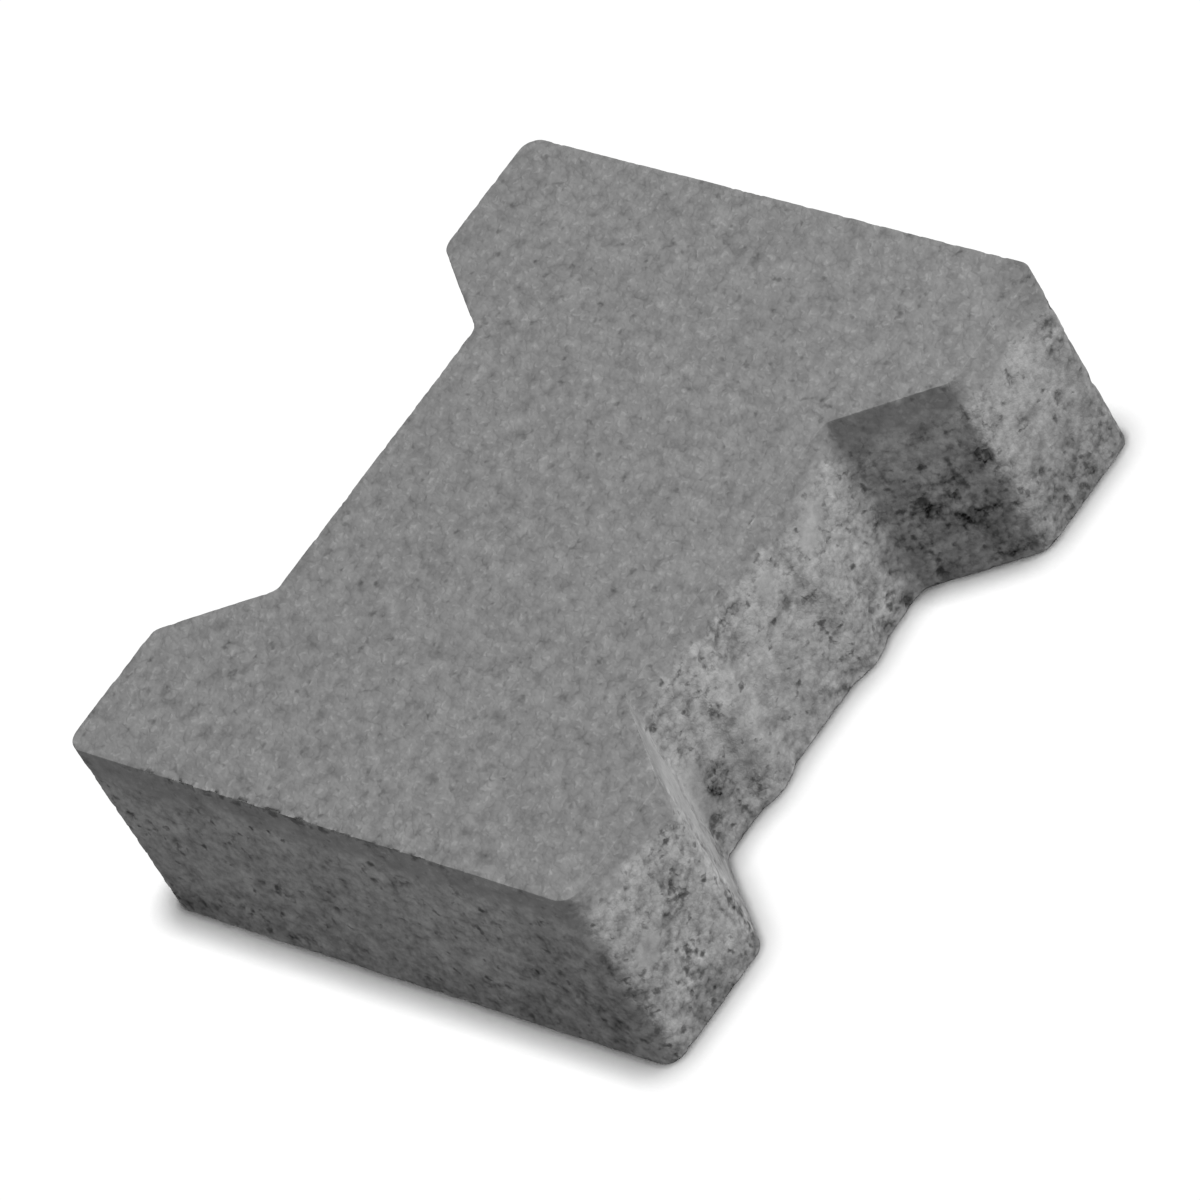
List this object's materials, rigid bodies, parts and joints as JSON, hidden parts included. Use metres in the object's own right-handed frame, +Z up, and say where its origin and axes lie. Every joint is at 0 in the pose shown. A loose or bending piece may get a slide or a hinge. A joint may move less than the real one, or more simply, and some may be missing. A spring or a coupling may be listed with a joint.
{
  "type": "paving stone",
  "caption": "Interlocking double-T paving stone of grey concrete: wide heads, a tapered waist recess on each side, and small spacer nibs on the waist.",
  "frame": {"origin": "on the underside, at the middle of the plan", "axes": "+X along the stone from head to head, +Y across it towards one waist recess, +Z up out of the wearing face"},
  "size_m": [0.198, 0.162, 0.061],
  "materials": {
    "concrete": "matt grey cast concrete, fine face mix over a coarser core"
  },
  "bodies": {
    "root": {"paving_stone": "concrete"}
  },
  "joints": []
}
